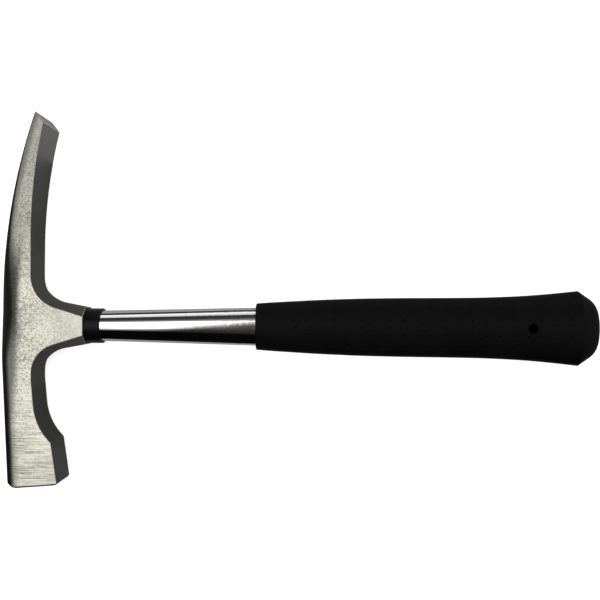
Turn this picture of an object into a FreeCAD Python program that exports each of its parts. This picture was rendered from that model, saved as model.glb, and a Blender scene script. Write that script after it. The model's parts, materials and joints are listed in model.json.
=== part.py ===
"""A bricklayer's hammer: a forged head on a tubular steel shaft with a rubber grip.

The parts are drawn along three axes. X runs along the handle from the head's outer
face to the butt, Y along the head from the handle's axis towards the blade, and Z
through its cheeks. A common placement then moves the origin to the middle of the
hammer's base, as it lies on one cheek.
"""
import FreeCAD, Part
import math
import os
import Sketcher

Vector = FreeCAD.Vector
FLAT = 0.01  # an edge that is shorter than this along an axis lies across it

# Driving dimensions in millimetres, angles in degrees: (name, value, what it is)
DIMENSIONS = [
    # head, seen on its cheek
    ("blade_reach", 100.5, "handle axis to the cutting edge"),
    ("poll_reach", 75.9, "handle axis to the middle of the striking face"),
    ("blade_outer_radius", 303.0, "curve of the blade's outer edge"),
    ("blade_inner_radius", 250.0, "curve of the blade's inner edge"),
    ("blade_curve_start", 40.0, "where the blade's inner edge starts to curve"),
    ("blade_root_width", 14.7, "width of the blade beside the neck"),
    ("bevel_length", 5.0, "chisel bevel, along the blade"),
    ("poll_bend_radius", 360.0, "bend of the outer edge below the eye"),
    ("poll_lean", 2.86, "lean of the poll's outer edge, in degrees"),
    ("poll_root_width", 15.1, "width of the poll's stem beside the neck"),
    ("poll_stem_straight", 25.5, "where the stem starts to widen"),
    ("poll_stem_end", 37.5, "where the stem starts to swell into the poll"),
    ("poll_stem_spread", 1.1, "how much the stem widens by there"),
    ("poll_swell_radius", 28.0, "curve of the swell"),
    ("shoulder_reach", 54.9, "handle axis to the poll's shoulder"),
    ("shoulder_width", 24.5, "outer face to the poll's shoulder"),
    ("poll_width", 27.5, "outer face to the poll's inner side at the striking face"),
    ("poll_corner_width", 4.17, "width of the cut-off outer corner"),
    ("poll_corner_length", 2.2, "length of the cut-off outer corner"),
    ("face_lean", 4.4, "lean of the striking face, in degrees"),
    ("face_chamfer", 0.8, "chamfer round the striking face"),
    # head, through its cheeks
    ("cheek_half", 12.6, "half thickness beside the neck and along the poll"),
    ("cheek_tip_half", 15.3, "half width of the cutting edge"),
    ("flare_start", 36.0, "handle axis to where the cheeks start to flare"),
    ("flare_blend_radius", 400.0, "blend from the waist into the blade's flare"),
    # neck
    ("neck_length", 39.1, "outer face to the neck's end"),
    ("neck_side_half", 8.8, "half height of the neck's end"),
    ("neck_cheek_half", 4.4, "half height of the cheek at the neck's end"),
    ("neck_side_taper", 10.8, "taper of the neck's sides, in degrees"),
    ("neck_cheek_taper", 17.5, "taper of the cheek along the neck, in degrees"),
    ("neck_flank_half", 6.0, "half depth of the neck's flat sides"),
    ("root_radius_blade", 16.0, "fillet from neck to blade"),
    ("root_radius_poll", 14.0, "fillet from neck to poll"),
    # rounding of the head's outer edges
    ("edge_round_poll", 4.5, "along the poll"),
    ("edge_round_eye", 7.0, "beside the eye"),
    ("edge_round_blade", 2.6, "where the blade's rounding has thinned"),
    ("edge_round_thinned", 46.0, "handle axis to there"),
    ("edge_round_tip", 0.5, "at the cutting edge"),
    # eye, and the shaft's tenon in it
    ("tenon_height", 12.0, "tenon along Y"),
    ("tenon_depth", 16.0, "tenon along Z"),
    ("tenon_flare", 1.2, "how much wedging opens the tenon's end"),
    ("tenon_flare_length", 9.0, "length of the opened end"),
    ("tenon_recess", 1.0, "outer face down to the tenon's end"),
    ("eye_clearance", 0.05, "gap between the eye and the tenon"),
    # shaft
    ("shoulder_gap", 0.4, "neck's end to the shaft's shoulder"),
    ("shoulder_length", 2.2, "length of the shaft's shoulder"),
    ("shaft_neck_height", 14.8, "shaft along Y at the collar"),
    ("shaft_neck_depth", 20.8, "shaft along Z at the collar"),
    ("shaft_taper_start", 49.5, "outer face to where the shaft starts to swell"),
    ("shaft_diameter", 18.3, "shaft in the grip, where it is round"),
    ("shaft_wall", 1.5, "wall of the tube"),
    ("shaft_end", 234.0, "outer face to the shaft's butt end"),
    # plug, wedge and end plug
    ("plug_clearance", 0.05, "gap round the plugs and the wedge"),
    ("wedge_mouth", 3.2, "wedge's thickness at its driven end"),
    ("wedge_point", 0.8, "wedge's thickness at its point"),
    ("wedge_length", 15.0, "length of the wedge"),
    ("wedge_width", 10.5, "width of the wedge"),
    ("end_plug_flange", 2.0, "thickness of the end plug's flange"),
    ("end_plug_spigot", 12.0, "length of the end plug's spigot"),
    # collar
    ("collar_length", 7.3, "length of the collar"),
    ("collar_wall", 0.9, "wall of the collar"),
    ("cut_margin", 1.0, "how far cutting outlines run past what they cut"),
    ("seat_gap", 0.1, "gap where collar, grip and plugs butt against their seats"),
    # grip
    ("grip_start", 120.1, "outer face to the grip"),
    ("grip_start_height", 22.4, "grip along Y at its start"),
    ("grip_start_depth", 22.0, "grip along Z at its start"),
    ("grip_palm_height", 28.7, "grip along Y in the palm"),
    ("grip_palm_depth", 24.4, "grip along Z in the palm"),
    ("grip_butt_height", 36.1, "grip along Y at the butt's corner"),
    ("grip_butt_depth", 31.0, "grip along Z at the butt's corner"),
    ("grip_length", 164.2, "length of the grip"),
    ("butt_chamfer_length", 9.8, "length of the butt's chamfer"),
    ("butt_slope", 34.2, "slope of the butt's chamfer, in degrees"),
    ("butt_round", 10.0, "rounding from the chamfer into the butt's end"),
    ("grip_rim", 0.6, "bevel of the grip's first rim"),
    ("grip_clearance", 0.05, "gap between the grip and the shaft"),
    # hang hole
    ("hang_hole_radius", 2.2, "radius of the hang hole"),
    ("hang_hole_setback", 33.5, "butt's end to the hang hole"),
]

doc = FreeCAD.newDocument("brick_hammer")
sheet = doc.addObject("Spreadsheet::Sheet", "dims")
for row, (alias, number, meaning) in enumerate(DIMENSIONS, start=1):
    sheet.set("A%d" % row, meaning)
    sheet.set("B%d" % row, str(number))
    sheet.setAlias("B%d" % row, alias)
doc.recompute()


def value(expression):
    """The number that an expression over the sheet gives now."""
    return float(sheet.evalExpression(expression))


# ---------------------------------------------------------------- sketch helpers

def origin_plane(body, role):
    """One of a body's own origin planes."""
    return next(item for item in body.Origin.OriginFeatures if item.Role == role)


def new_sketch(body, name, role, offset="0"):
    """An empty sketch on an origin plane, moved along the plane's normal."""
    sketch = body.newObject("Sketcher::SketchObject", name)
    sketch.AttachmentSupport = [(origin_plane(body, role), "")]
    sketch.MapMode = "FlatFace"
    sketch.setExpression("AttachmentOffset.Base.z", offset)
    return sketch


def bind(sketch, constraint, expression):
    """Adds a constraint whose value is an expression."""
    index = sketch.addConstraint(Sketcher.Constraint(*constraint, value(expression)))
    sketch.setExpression("Constraints[%d]" % index, expression)


def turn_of(start, end, radius, side):
    """The arc from start to end; side 1 turns left and -1 turns right."""
    chord = end - start
    rise = math.sqrt(radius ** 2 - (chord.Length / 2) ** 2)
    left = Vector(-chord.y, chord.x, 0).normalize()
    centre = (start + end) * 0.5 + left * rise * side
    first, last = (start, end) if side > 0 else (end, start)
    angles = [math.atan2(point.y - centre.y, point.x - centre.x) for point in (first, last)]
    circle = Part.Circle(centre, Vector(0, 0, 1), radius)
    return Part.ArcOfCircle(circle, angles[0], angles[1])


def draw_outline(sketch, corners, bends=None):
    """A closed outline. corners are pairs of expressions. bends gives the radius and
    the side of an arc, by the number of the corner that it leaves."""
    bends = bends or {}
    points = [Vector(value(x), value(y), 0) for x, y in corners]
    edges = []
    for number, start in enumerate(points):
        end = points[(number + 1) % len(points)]
        if number in bends:
            radius, side = bends[number]
            edge = sketch.addGeometry(turn_of(start, end, value(radius), side))
            edges.append((edge, 1, 2) if side > 0 else (edge, 2, 1))
        else:
            edges.append((sketch.addGeometry(Part.LineSegment(start, end)), 1, 2))
    for number, (edge, first, last) in enumerate(edges):
        after, after_first, _ = edges[(number + 1) % len(edges)]
        sketch.addConstraint(Sketcher.Constraint("Coincident", edge, last, after, after_first))
    for number, (edge, first, last) in enumerate(edges):
        x, y = corners[number]
        bind(sketch, ("DistanceX", -1, 1, edge, first), x)
        bind(sketch, ("DistanceY", -1, 1, edge, first), y)
        if number in bends:
            bind(sketch, ("Radius", edge), bends[number][0])


def oval(body, name, at, height, depth):
    """An oval section across the handle at a place along X: height along Y, depth
    along Z. The sketch's long axis follows whichever of the two is longer, and equal
    ones give a circle."""
    sketch = new_sketch(body, name, "YZ_Plane", at)
    if abs(value(depth) - value(height)) < FLAT:
        circle = sketch.addGeometry(Part.Circle(Vector(), Vector(0, 0, 1), value(height) / 2))
        sketch.addConstraint(Sketcher.Constraint("Coincident", circle, 3, -1, 1))
        bind(sketch, ("Diameter", circle), height)
        return sketch
    upright = value(depth) > value(height)
    long_size, short_size = (depth, height) if upright else (height, depth)
    long_end = Vector(0, value(long_size) / 2, 0) if upright else Vector(value(long_size) / 2, 0, 0)
    short_end = Vector(value(short_size) / 2, 0, 0) if upright else Vector(0, value(short_size) / 2, 0)
    ellipse = sketch.addGeometry(Part.Ellipse(long_end, short_end, Vector()))
    sketch.exposeInternalGeometry(ellipse)
    long_line, short_line = ellipse + 1, ellipse + 2
    sketch.addConstraint(Sketcher.Constraint("Coincident", ellipse, 3, -1, 1))
    sketch.addConstraint(Sketcher.Constraint("Vertical" if upright else "Horizontal", long_line))
    bind(sketch, ("Distance", long_line), long_size)
    bind(sketch, ("Distance", short_line), short_size)
    return sketch


# --------------------------------------------------------------- feature helpers

def new_body(name):
    """A body with its label."""
    body = doc.addObject("PartDesign::Body", name + "_body")
    body.Label = name
    return body


def loft(body, name, sections, cuts=False, ruled=False):
    """A loft through sketches, added to the body or cut from it."""
    kind = "PartDesign::SubtractiveLoft" if cuts else "PartDesign::AdditiveLoft"
    feature = body.newObject(kind, name)
    feature.Profile = sections[0]
    feature.Sections = sections[1:]
    feature.Ruled = ruled
    return feature


def pad(body, name, sketch, length):
    """A pad that lies evenly on both sides of its sketch."""
    feature = body.newObject("PartDesign::Pad", name)
    feature.Profile = sketch
    feature.SideType = "Symmetric"
    feature.setExpression("Length", length)
    return feature


def pocket_through(body, name, sketch):
    """A pocket right through the body, both ways from its sketch."""
    feature = body.newObject("PartDesign::Pocket", name)
    feature.Profile = sketch
    feature.SideType = "Symmetric"
    feature.Type = "ThroughAll"
    return feature


def dress(body, kind, name, edges, amount):
    """A fillet or a chamfer on the body's last feature."""
    base = body.Tip
    feature = body.newObject("PartDesign::" + kind, name)
    feature.Base = (base, edges)
    feature.setExpression("Radius" if kind == "Fillet" else "Size", amount)
    return feature


def edge_names(shape, wanted):
    """The names of the edges that pass a test."""
    return ["Edge%d" % number for number, edge in enumerate(shape.Edges, start=1) if wanted(edge)]


# ------------------------------------------------------- the shaft's sections

# The shaft's sections: height along Y and depth along Z.
TENON = ("dims.tenon_height", "dims.tenon_depth")
TENON_MOUTH = ("dims.tenon_height + dims.tenon_flare", "dims.tenon_depth + dims.tenon_flare")
SHAFT_NECK = ("dims.shaft_neck_height", "dims.shaft_neck_depth")
SHAFT_GRIP = ("dims.shaft_diameter", "dims.shaft_diameter")
# Places along X from the head's outer face.
FLARE_END = "(dims.tenon_recess + dims.tenon_flare_length)"
SHOULDER = "(dims.neck_length + dims.shoulder_gap)"
# A station of an outline is its name, X, height and depth.


def divided(near, far, count):
    """near, far and evenly spaced stations between them. A loft between ovals of
    different proportions is twisted, and short ones follow the twist closely."""
    stations = [near]
    for step in range(1, count):
        share = step / count
        sizes = ["(%s + %r * (%s - (%s)))" % (low, share, high, low)
                 for low, high in zip(near[1:], far[1:])]
        stations.append(("%s_%d" % (near[0], step), *sizes))
    return stations + [far]


TENON_FLARE = divided(("mouth", "dims.tenon_recess") + TENON_MOUTH,
                      ("throat", FLARE_END) + TENON, 2)
TENON_STATIONS = TENON_FLARE + [("shoulder", SHOULDER) + TENON]
SHAFT_STATIONS = TENON_STATIONS + [
    ("neck", SHOULDER + " + dims.shoulder_length") + SHAFT_NECK,
] + divided(("taper", "dims.shaft_taper_start") + SHAFT_NECK,
            ("grip", "dims.grip_start") + SHAFT_GRIP, 2) + [
    ("end", "dims.shaft_end") + SHAFT_GRIP,
]


def tube_chain(body, name, stations, inset="0", cuts=False):
    """Solids from each station to the next, all smaller by an inset: a pad where the
    section stays the same, and a straight-sided loft where it changes."""
    smaller = " - 2 * (%s)" % inset
    sections = [oval(body, "%s_%s" % (name, place), at, height + smaller, depth + smaller)
                for place, at, height, depth in stations]
    for number, (near, far) in enumerate(zip(stations, stations[1:])):
        run = "%s_run_%d" % (name, number)
        if near[2:] != far[2:]:
            loft(body, run, sections[number:number + 2], cuts=cuts, ruled=True)
            continue
        feature = body.newObject("PartDesign::Pocket" if cuts else "PartDesign::Pad", run)
        feature.Profile = sections[number]
        feature.Reversed = cuts
        feature.setExpression("Length", "(%s) - (%s)" % (far[1], near[1]))


# --------------------------------------------------------------------- the head

# The tangent points of a root fillet, from its wall, its radius and the neck's line.
def root_corners(wall, radius, end_half, taper, side):
    """The fillet's end on the stem's wall and its end on the neck's side."""
    rise = "(%s + tan(%s * 1deg) * (dims.neck_length - %s - %s) + %s / cos(%s * 1deg))" % (
        end_half, taper, wall, radius, radius, taper)
    on_wall = (wall, "%s%s" % (side, rise))
    on_neck = ("%s + %s * (1 - sin(%s * 1deg))" % (wall, radius, taper),
               "%s(%s - %s * cos(%s * 1deg))" % (side, rise, radius, taper))
    return on_wall, on_neck


def neck_outline(sketch, end_half, taper):
    """The neck seen on its cheek, with the fillets that lead into blade and poll."""
    inside = "dims.blade_root_width / 2"
    blade_wall, blade_neck = root_corners(
        "dims.blade_root_width", "dims.root_radius_blade", end_half, taper, "")
    poll_wall, poll_neck = root_corners(
        "dims.poll_root_width", "dims.root_radius_poll", end_half, taper, "-")
    corners = [
        (inside, blade_wall[1]), blade_wall, blade_neck,
        ("dims.neck_length", end_half), ("dims.neck_length", "-" + end_half),
        poll_neck, poll_wall, (inside, poll_wall[1]),
    ]
    bends = {1: ("dims.root_radius_blade", 1), 5: ("dims.root_radius_poll", 1)}
    draw_outline(sketch, corners, bends)


BLADE_CURVE = "dims.blade_outer_radius"
POLL_BEND = "dims.poll_bend_radius"
POLL_BEND_REACH = "(%s * sin(dims.poll_lean * 1deg))" % POLL_BEND
POLL_BEND_DEPTH = "(%s * (1 - cos(dims.poll_lean * 1deg)))" % POLL_BEND


def blade_outer(reach):
    """The outer edge's X on the blade, at a distance from the handle's axis."""
    return "(%s - sqrt(%s ^ 2 - (%s) ^ 2))" % (BLADE_CURVE, BLADE_CURVE, reach)


def poll_outer(reach):
    """The outer edge's X on the poll's straight stretch."""
    return "(%s + tan(dims.poll_lean * 1deg) * (%s - %s))" % (
        POLL_BEND_DEPTH, reach, POLL_BEND_REACH)


def inner_edge(reach):
    """The blade's inner edge's X at a distance from the handle's axis."""
    return ("(dims.blade_root_width + dims.blade_inner_radius"
            " - sqrt(dims.blade_inner_radius ^ 2 - (%s - dims.blade_curve_start) ^ 2))" % reach)


FACE_SLOPE = "tan(dims.face_lean * 1deg)"
CORNER_REACH = "(dims.poll_reach - dims.poll_corner_length)"
CORNER_X = "(%s + dims.poll_corner_width)" % poll_outer(CORNER_REACH)
FACE_LOWEST = "(dims.poll_reach + %s * (dims.poll_width / 2 - %s))" % (FACE_SLOPE, CORNER_X)


def build_head():
    body = doc.addObject("PartDesign::Body", "head_forging")
    body.Label = "head_forging"

    side = new_sketch(body, "head_side", "XY_Plane")
    bevel_heel = "(dims.blade_reach - dims.bevel_length)"
    face_high = "-(dims.poll_reach - %s * dims.poll_width / 2)" % FACE_SLOPE
    corners = [
        ("0", "0"),
        (blade_outer("dims.blade_reach"), "dims.blade_reach"),
        (inner_edge(bevel_heel), bevel_heel),
        ("dims.blade_root_width", "dims.blade_curve_start"),
        ("dims.blade_root_width", "0"),
        ("dims.poll_root_width", "0"),
        ("dims.poll_root_width", "-dims.poll_stem_straight"),
        ("dims.poll_root_width + dims.poll_stem_spread", "-dims.poll_stem_end"),
        ("dims.shoulder_width", "-dims.shoulder_reach"),
        ("dims.poll_width", face_high),
        (CORNER_X, "-" + FACE_LOWEST),
        (poll_outer(CORNER_REACH), "-" + CORNER_REACH),
        (POLL_BEND_DEPTH, "-" + POLL_BEND_REACH),
    ]
    bends = {
        0: (BLADE_CURVE, -1),
        2: ("dims.blade_inner_radius", 1),
        7: ("dims.poll_swell_radius", 1),
        12: (POLL_BEND, -1),
    }
    draw_outline(side, corners, bends)
    pad(body, "head_bar", side, "2 * dims.cheek_tip_half + 2 * dims.cut_margin")

    # The cheeks: parallel along the poll and beside the neck, flared towards the
    # cutting edge.
    flare = "((dims.cheek_tip_half - dims.cheek_half) / (dims.blade_reach - dims.flare_start))"
    blend = "(dims.flare_blend_radius * tan(atan(%s) / 2))" % flare
    for name, sign in (("upper", ""), ("lower", "-")):
        cheek = new_sketch(body, "cheek_" + name, "YZ_Plane")
        beyond = sign + "(dims.cheek_tip_half + 2 * dims.cut_margin)"
        blend_end = "(dims.flare_start + %s * cos(atan(%s)))" % (blend, flare)
        blend_height = "(dims.cheek_half + %s * sin(atan(%s)))" % (blend, flare)
        corners = [
            ("-(dims.poll_reach + 2 * dims.cut_margin)", sign + "dims.cheek_half"),
            ("dims.flare_start - " + blend, sign + "dims.cheek_half"),
            (blend_end, sign + blend_height),
            ("dims.blade_reach + dims.cut_margin",
             sign + "(dims.cheek_tip_half + dims.cut_margin * %s)" % flare),
            ("dims.blade_reach + dims.cut_margin", beyond),
            ("-(dims.poll_reach + 2 * dims.cut_margin)", beyond),
        ]
        draw_outline(cheek, corners, {1: ("dims.flare_blend_radius", -1 if sign else 1)})
        pocket_through(body, "cheek_cut_" + name, cheek)

    # The neck: a slab as deep as its flat sides, and above and below it a facet that
    # runs from the slab's outline up to the narrower outline of the cheek.
    slab = new_sketch(body, "neck_slab_outline", "XY_Plane")
    neck_outline(slab, "dims.neck_side_half", "dims.neck_side_taper")
    pad(body, "neck_slab", slab, "2 * dims.neck_flank_half")
    for name, sign in (("upper", ""), ("lower", "-")):
        flank = new_sketch(body, "neck_flank_" + name, "XY_Plane", sign + "dims.neck_flank_half")
        neck_outline(flank, "dims.neck_side_half", "dims.neck_side_taper")
        cheek = new_sketch(body, "neck_cheek_" + name, "XY_Plane", sign + "dims.cheek_half")
        neck_outline(cheek, "dims.neck_cheek_half", "dims.neck_cheek_taper")
        loft(body, "neck_facets_" + name, [flank, cheek], ruled=True)

    # The eye: an oval hole along the handle's axis that opens towards the outer face.
    grown = "-dims.eye_clearance"
    eye = [("face", "-dims.cut_margin") + TENON_MOUTH] + TENON_FLARE + [
        ("back", "dims.neck_length + dims.cut_margin") + TENON]
    tube_chain(body, "eye", eye, inset=grown, cuts=True)
    doc.recompute()

    # The chamfer round the striking face.
    lean = math.radians(value("dims.face_lean"))
    facing = Vector(math.sin(lean), -math.cos(lean), 0)
    face = next(face for face in body.Shape.Faces if (face.normalAt(0, 0) - facing).Length < 1e-6)
    rim = edge_names(body.Shape, lambda edge: any(edge.isSame(other) for other in face.Edges))
    dress(body, "Chamfer", "face_chamfer", rim, "dims.face_chamfer")
    doc.recompute()
    return body


def outer_x(reach):
    """The outer edge's X; reach is positive towards the blade."""
    if reach >= 0:
        return value(blade_outer("%r" % reach))
    if -reach > value(POLL_BEND_REACH):
        return value(poll_outer("%r" % -reach))
    bend = value(POLL_BEND)
    return bend - math.sqrt(bend ** 2 - reach ** 2)


def build_head_rounding(body):
    """The forging's outer edges, rounded most beside the eye and least at the tip."""
    stations = [
        (-value("dims.poll_reach"), value("dims.edge_round_poll")),
        (-value(POLL_BEND_REACH), value("dims.edge_round_poll")),
        (0.0, value("dims.edge_round_eye")),
        (value("dims.edge_round_thinned"), value("dims.edge_round_blade")),
        (value("dims.blade_reach"), value("dims.edge_round_tip")),
    ]

    def radius_at(reach):
        for (near, near_radius), (far, far_radius) in zip(stations, stations[1:]):
            if reach <= far:
                return near_radius + (far_radius - near_radius) * (reach - near) / (far - near)
        return stations[-1][1]

    rounded = []
    for side in (1, -1):
        chain = []
        for number, edge in enumerate(body.Shape.Edges, start=1):
            start, middle, end = edge.discretize(3)
            outer = all(abs(point.x - outer_x(point.y)) < FLAT / 10 for point in (start, middle, end))
            along = abs(start.y - end.y) > value("dims.face_chamfer") * 2
            if outer and along and middle.z * side > value("dims.neck_flank_half"):
                first = edge.valueAt(edge.FirstParameter)
                last = edge.valueAt(edge.LastParameter)
                chain.append((number, first.y, last.y))
        # The whole chain of tangent edges runs the way that its first edge does.
        rises = chain[0][2] > chain[0][1]
        for number, first, last in chain:
            low, high = sorted((first, last))
            radii = (radius_at(low), radius_at(high))
            rounded.append((number,) + (radii if rises else radii[::-1]))
    rounding = doc.addObject("Part::Fillet", "head_rounding")
    rounding.Base = body
    rounding.Edges = rounded
    rounding.Label = "hammer_head"
    doc.recompute()
    return rounding


# ------------------------------------------------------------------ the shaft

def build_shaft():
    body = new_body("shaft_tube")
    tube_chain(body, "outside", SHAFT_STATIONS)
    tube_chain(body, "inside", SHAFT_STATIONS, inset="dims.shaft_wall", cuts=True)
    return body


# ---------------------------------------------- the plug and the wedge in the eye

PLUG_INSET = "dims.shaft_wall + dims.plug_clearance"


def wedge_outline(sketch, gap):
    """The wedge seen along the head, from its driven end to its point."""
    start = "dims.tenon_recess"
    end = "(dims.tenon_recess + dims.wedge_length + %s)" % gap
    mouth = "(dims.wedge_mouth / 2 + %s)" % gap
    point = "(dims.wedge_point / 2 + %s)" % gap
    draw_outline(sketch, [(start, "-" + mouth), (end, "-" + point), (end, point), (start, mouth)])


def build_core_plug():
    body = new_body("core_plug")
    tube_chain(body, "plug", TENON_STATIONS, inset=PLUG_INSET)
    slot = new_sketch(body, "wedge_slot_outline", "XY_Plane")
    wedge_outline(slot, "dims.plug_clearance")
    feature = body.newObject("PartDesign::Pocket", "wedge_slot")
    feature.Profile = slot
    feature.SideType = "Symmetric"
    feature.setExpression("Length", "dims.wedge_width + 2 * dims.plug_clearance")
    return body


def build_wedge():
    body = new_body("eye_wedge")
    side = new_sketch(body, "wedge_side", "XY_Plane")
    wedge_outline(side, "0")
    pad(body, "wedge", side, "dims.wedge_width")
    return body


# ------------------------------------------------------------------- the collar

def build_collar():
    body = new_body("neck_collar")
    start = "(dims.neck_length + dims.seat_gap)"
    end = "(%s + dims.collar_length)" % start
    bore = "-dims.plug_clearance"
    outer = bore + " - dims.collar_wall"
    ring = [("near", start) + SHAFT_NECK, ("far", end) + SHAFT_NECK]
    tube_chain(body, "ring", ring, inset=outer)
    tube_chain(body, "bore", ring, inset=bore, cuts=True)
    return body


# --------------------------------------------------------- the end plug and grip

FLANGE_START = "(dims.shaft_end + dims.seat_gap)"
FLANGE_END = "(%s + dims.end_plug_flange)" % FLANGE_START


def build_end_plug():
    body = new_body("tube_end_plug")
    flange = [("near", FLANGE_START) + SHAFT_GRIP,
              ("far", FLANGE_END) + SHAFT_GRIP]
    tube_chain(body, "flange", flange)
    tip = "%s - dims.end_plug_spigot" % FLANGE_START
    spigot = [("tip", tip) + SHAFT_GRIP, flange[0]]
    tube_chain(body, "spigot", spigot, inset=PLUG_INSET)
    return body


GRIP_END = "(dims.grip_start + dims.grip_length)"
BUTT_CORNER = "(%s - dims.butt_chamfer_length)" % GRIP_END
# How far in from the butt's corner its rounding starts, and the rounding's steps.
BUTT_ROUND_INSET = ("tan(dims.butt_slope * 1deg) * (dims.butt_chamfer_length"
                    " - dims.butt_round * (1 - sin(dims.butt_slope * 1deg)))")
BUTT_STEPS = 3
HOLE_X = "(%s - dims.hang_hole_setback)" % GRIP_END
# The grip's sections from its start to the butt's corner: (how far along, the two named
# sizes that this one lies between, and how far it is from the first to the second).
SWELLS = [
    (0.00, "start", "palm", 0.00),
    (0.05, "start", "palm", 0.18),
    (0.19, "start", "palm", 0.58),
    (0.32, "start", "palm", 0.83),
    (0.45, "start", "palm", 0.95),
    (0.58, "start", "palm", 1.00),
    (0.70, "palm", "butt", 0.07),
    (0.78, "palm", "butt", 0.20),
    (0.83, "palm", "butt", 0.31),
    (0.865, "palm", "butt", 0.42),
    (0.91, "palm", "butt", 0.59),
    (0.955, "palm", "butt", 0.78),
    (1.00, "palm", "butt", 1.00),
]


def between(low, high, share, size):
    """A size that lies between two of the grip's named sizes."""
    return "dims.grip_{0}_{2} + {3} * (dims.grip_{1}_{2} - dims.grip_{0}_{2})".format(
        low, high, size, share)


def build_grip():
    body = new_body("grip_sleeve")
    stations = []
    for number, (reach, low, high, share) in enumerate(SWELLS):
        at = "dims.grip_start + %s * (%s - dims.grip_start)" % (reach, BUTT_CORNER)
        stations.append((str(number), at, between(low, high, share, "height"),
                         between(low, high, share, "depth")))
    for step in range(BUTT_STEPS + 1):
        turn = "(dims.butt_slope + %r * (90 - dims.butt_slope)) * 1deg" % (step / BUTT_STEPS)
        setback = "dims.butt_round * (1 - sin(%s))" % turn
        inset = "(%s + dims.butt_round * (cos(dims.butt_slope * 1deg) - cos(%s)))" % (
            BUTT_ROUND_INSET, turn)
        stations.append(("butt_%d" % step, "%s - %s" % (GRIP_END, setback),
                         "dims.grip_butt_height - 2 * " + inset,
                         "dims.grip_butt_depth - 2 * " + inset))
    tube_chain(body, "swell", stations)
    doc.recompute()
    start = value("dims.grip_start")
    first_rim = edge_names(body.Shape, lambda edge: abs(edge.BoundBox.XMin - start) < FLAT
                           and abs(edge.BoundBox.XMax - start) < FLAT)
    dress(body, "Chamfer", "grip_first_rim", first_rim, "dims.grip_rim")
    bore = [("near", "dims.grip_start") + SHAFT_GRIP,
            ("far", FLANGE_END + " + dims.seat_gap") + SHAFT_GRIP]
    tube_chain(body, "bore", bore, inset="-dims.grip_clearance", cuts=True)
    hole = new_sketch(body, "hang_hole_outline", "XY_Plane")
    circle = hole.addGeometry(Part.Circle(Vector(value(HOLE_X), 0, 0), Vector(0, 0, 1),
                                          value("dims.hang_hole_radius")))
    bind(hole, ("DistanceX", -1, 1, circle, 3), HOLE_X)
    hole.addConstraint(Sketcher.Constraint("PointOnObject", circle, 3, -1))
    bind(hole, ("Radius", circle), "dims.hang_hole_radius")
    pocket_through(body, "hang_hole", hole)
    return body


# ------------------------------------------------------- assembly and the files

def place(part):
    """Moves a part so that the origin is in the middle under the hammer lying down."""
    part.setExpression("Placement.Base.x", "-%s / 2" % GRIP_END)
    part.setExpression("Placement.Base.y", "(%s - dims.blade_reach) / 2" % FACE_LOWEST)
    part.setExpression("Placement.Base.z", "max(dims.grip_butt_depth / 2; dims.cheek_tip_half)")


def check_document():
    """Stops if any object failed, or a feature added or removed nothing."""
    for item in doc.Objects:
        if "Invalid" in item.State or "Error" in item.State:
            raise RuntimeError("%s failed: %s" % (item.Name, item.getStatusString()))
    for body in doc.findObjects("PartDesign::Body"):
        volume = 0.0
        for item in body.Group:
            if not item.isDerivedFrom("PartDesign::Feature"):
                continue
            removes = any(word in item.TypeId for word in ("Pocket", "Subtractive", "Chamfer", "Fillet"))
            if (item.Shape.Volume < volume) != removes:
                raise RuntimeError("%s changes the volume the wrong way" % item.Name)
            volume = item.Shape.Volume


def write(parts):
    """Checks each part's shape and writes it to its own file."""
    check_document()
    for part in parts:
        if part.Shape.isNull() or not part.Shape.isValid() or len(part.Shape.Solids) != 1:
            raise RuntimeError("%s isn't one valid solid" % part.Label)
    os.makedirs("parts", exist_ok=True)
    for part in parts:
        part.Shape.exportStep("parts/%s.step" % part.Label)


hammer = [
    build_head_rounding(build_head()),
    build_shaft(),
    build_core_plug(),
    build_wedge(),
    build_collar(),
    build_end_plug(),
    build_grip(),
]
for part in hammer:
    place(part)
doc.recompute()
write(hammer)
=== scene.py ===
"""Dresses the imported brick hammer: its materials, finer skins for three of its pieces,
and a plain studio.

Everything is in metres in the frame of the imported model. The hammer lies on one
cheek: +X runs along the handle to the butt, +Y to the blade's edge and +Z up.
"""
import json
import math

import bmesh
import bpy
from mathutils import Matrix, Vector
from mathutils.bvhtree import BVHTree


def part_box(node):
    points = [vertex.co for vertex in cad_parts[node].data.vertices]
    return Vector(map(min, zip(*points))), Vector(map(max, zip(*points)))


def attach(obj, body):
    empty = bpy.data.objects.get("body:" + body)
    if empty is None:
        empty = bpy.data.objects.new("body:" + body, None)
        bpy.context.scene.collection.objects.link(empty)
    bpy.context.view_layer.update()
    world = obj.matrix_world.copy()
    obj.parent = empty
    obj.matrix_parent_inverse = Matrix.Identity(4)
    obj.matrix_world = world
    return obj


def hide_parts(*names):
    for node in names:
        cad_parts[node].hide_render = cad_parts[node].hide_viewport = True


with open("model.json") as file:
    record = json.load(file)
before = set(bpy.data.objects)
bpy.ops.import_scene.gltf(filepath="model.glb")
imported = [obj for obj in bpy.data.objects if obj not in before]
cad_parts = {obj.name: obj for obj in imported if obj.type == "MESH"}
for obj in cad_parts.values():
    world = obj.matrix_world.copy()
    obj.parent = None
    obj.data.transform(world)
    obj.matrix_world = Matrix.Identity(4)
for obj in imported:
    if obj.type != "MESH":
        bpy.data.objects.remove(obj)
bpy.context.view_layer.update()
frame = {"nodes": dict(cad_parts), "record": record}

MM = 0.001

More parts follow.
